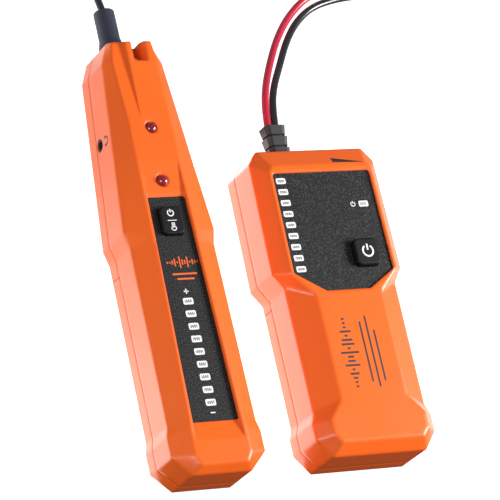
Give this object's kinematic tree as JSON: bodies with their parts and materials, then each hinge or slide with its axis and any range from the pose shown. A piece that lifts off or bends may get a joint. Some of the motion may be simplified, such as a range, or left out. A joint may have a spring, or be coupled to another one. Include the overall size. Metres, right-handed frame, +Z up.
{
  "type": "tone probe kit",
  "caption": "Cable tracing kit: a slim receiver with a bendable probe neck and a tone transmitter with two coiled clip leads, in angular orange cases.",
  "frame": {"origin": "centre of the receiver's flat back face, at half the length of its case, on the surface that both units lie on", "axes": "+Y along the receiver towards its probe, +X from the receiver to the transmitter, +Z up out of both fronts"},
  "size_m": [0.2047, 0.3117, 0.0332],
  "materials": {
    "orange_case": "fine satin moulding",
    "panel_grey": "speckled matte film",
    "bar_white": "translucent printed window",
    "button_black": "soft satin",
    "led_red": "clear tinted epoxy",
    "torch_white": "clear epoxy",
    "board_green": "solder mask",
    "chip_white": "small surface-mount lamp",
    "dark_plastic": "moulded",
    "speaker_black": "moulded basket",
    "battery_jacket": "printed jacket",
    "screw_steel": "black-nickel plated",
    "boot_rubber": "satin",
    "neck_sheath": "satin sheath on a bendable core",
    "relief_black": "satin",
    "lead_red": "glossy PVC",
    "lead_black": "glossy PVC",
    "clip_nickel": "nickel-plated sheet"
  },
  "bodies": {
    "receiver": {"receiver_front_shell": "orange_case", "receiver_rear_shell": "orange_case", "receiver_panel": "panel_grey", "receiver_level_windows": "bar_white", "receiver_button_switch": "dark_plastic", "receiver_signal_led": "led_red", "receiver_power_led": "led_red", "receiver_torch_led": "torch_white", "receiver_level_leds": "chip_white", "receiver_circuit_board": "board_green", "receiver_earphone_jack": "dark_plastic", "receiver_sensitivity_pot": "dark_plastic", "receiver_speaker": "speaker_black", "receiver_battery": "battery_jacket", "receiver_battery_snap": "dark_plastic", "receiver_battery_tray": "dark_plastic", "receiver_case_screws": "screw_steel", "receiver_probe_boot": "boot_rubber", "receiver_probe_neck_base": "neck_sheath"},
    "receiver_battery_door": {"receiver_battery_door": "orange_case"},
    "receiver_button": {"receiver_button": "button_black"},
    "sensitivity_wheel": {"receiver_sensitivity_wheel": "dark_plastic"},
    "probe_neck": {"receiver_probe_neck_middle": "neck_sheath"},
    "probe_tip": {"receiver_probe_neck_end": "neck_sheath", "receiver_probe_tip": "boot_rubber"},
    "transmitter": {"transmitter_front_shell": "orange_case", "transmitter_rear_shell": "orange_case", "transmitter_panel": "panel_grey", "transmitter_level_windows": "bar_white", "transmitter_power_window": "bar_white", "transmitter_button_switch": "dark_plastic", "transmitter_level_leds": "chip_white", "transmitter_circuit_board": "board_green", "transmitter_level_pot": "dark_plastic", "transmitter_battery": "battery_jacket", "transmitter_battery_snap": "dark_plastic", "transmitter_battery_tray": "dark_plastic", "transmitter_case_screws": "screw_steel", "transmitter_strain_relief": "relief_black", "red_lead": "lead_red", "red_lead_coil": "lead_red", "red_lead_tail": "lead_red", "red_clip_lower_jaw": "clip_nickel", "red_clip_lower_grip": "lead_red", "red_clip_pin": "clip_nickel", "red_clip_spring": "clip_nickel", "black_lead": "lead_black", "black_lead_coil": "lead_black", "black_lead_tail": "lead_black", "black_clip_lower_jaw": "clip_nickel", "black_clip_lower_grip": "lead_black", "black_clip_pin": "clip_nickel", "black_clip_spring": "clip_nickel"},
    "transmitter_battery_door": {"transmitter_battery_door": "orange_case"},
    "transmitter_button": {"transmitter_button": "button_black"},
    "level_wheel": {"transmitter_level_wheel": "dark_plastic"},
    "red_clip_jaw": {"red_clip_upper_jaw": "clip_nickel", "red_clip_upper_grip": "lead_red"},
    "black_clip_jaw": {"black_clip_upper_jaw": "clip_nickel", "black_clip_upper_grip": "lead_black"}
  },
  "joints": [
    {"name": "receiver_door_slide", "type": "slide", "parent": "receiver", "child": "receiver_battery_door", "axis": [0, -1, 0], "range_m": [0, 0.075]},
    {"name": "receiver_button_press", "type": "slide", "parent": "receiver", "child": "receiver_button", "axis": [0, 0, -1], "range_m": [0, 0.0008], "stiffness_N_per_m": 1500},
    {"name": "sensitivity_wheel_turn", "type": "hinge", "parent": "receiver", "child": "sensitivity_wheel", "pos_m": [0.01256, 0.038, 0.013], "axis": [0, 0, 1], "range_deg": [0, 270]},
    {"name": "neck_bend_sideways", "type": "hinge", "parent": "receiver", "child": "probe_neck", "pos_m": [-0.0034, 0.13805, 0.0087], "axis": [0, 0, 1], "range_deg": [-45, 45]},
    {"name": "neck_bend_up", "type": "hinge", "parent": "probe_neck", "child": "probe_tip", "pos_m": [-0.0046, 0.16605, 0.0048], "axis": [1, 0, 0], "range_deg": [0, 60]},
    {"name": "transmitter_lift_away", "type": "slide", "parent": "receiver", "child": "transmitter", "axis": [1, 0, 0], "range_m": [0, 0.15]},
    {"name": "transmitter_door_slide", "type": "slide", "parent": "transmitter", "child": "transmitter_battery_door", "axis": [0, -1, 0], "range_m": [0, 0.055]},
    {"name": "transmitter_button_press", "type": "slide", "parent": "transmitter", "child": "transmitter_button", "axis": [0, 0, -1], "range_m": [0, 0.0008], "stiffness_N_per_m": 1500},
    {"name": "level_wheel_turn", "type": "hinge", "parent": "transmitter", "child": "level_wheel", "pos_m": [0.0886, 0.03765, 0.014], "axis": [0, 0, 1], "range_deg": [0, 270]},
    {"name": "red_clip_open", "type": "hinge", "parent": "transmitter", "child": "red_clip_jaw", "pos_m": [0.1385, 0.1915, 0.00795], "axis": [1, 0, 0], "range_deg": [0, 20], "stiffness_Nm_per_rad": 0.05, "springref_deg": -17.19},
    {"name": "black_clip_open", "type": "hinge", "parent": "transmitter", "child": "black_clip_jaw", "pos_m": [0.179, 0.186, 0.00795], "axis": [1, 0, 0], "range_deg": [0, 20], "stiffness_Nm_per_rad": 0.05, "springref_deg": -17.19}
  ]
}
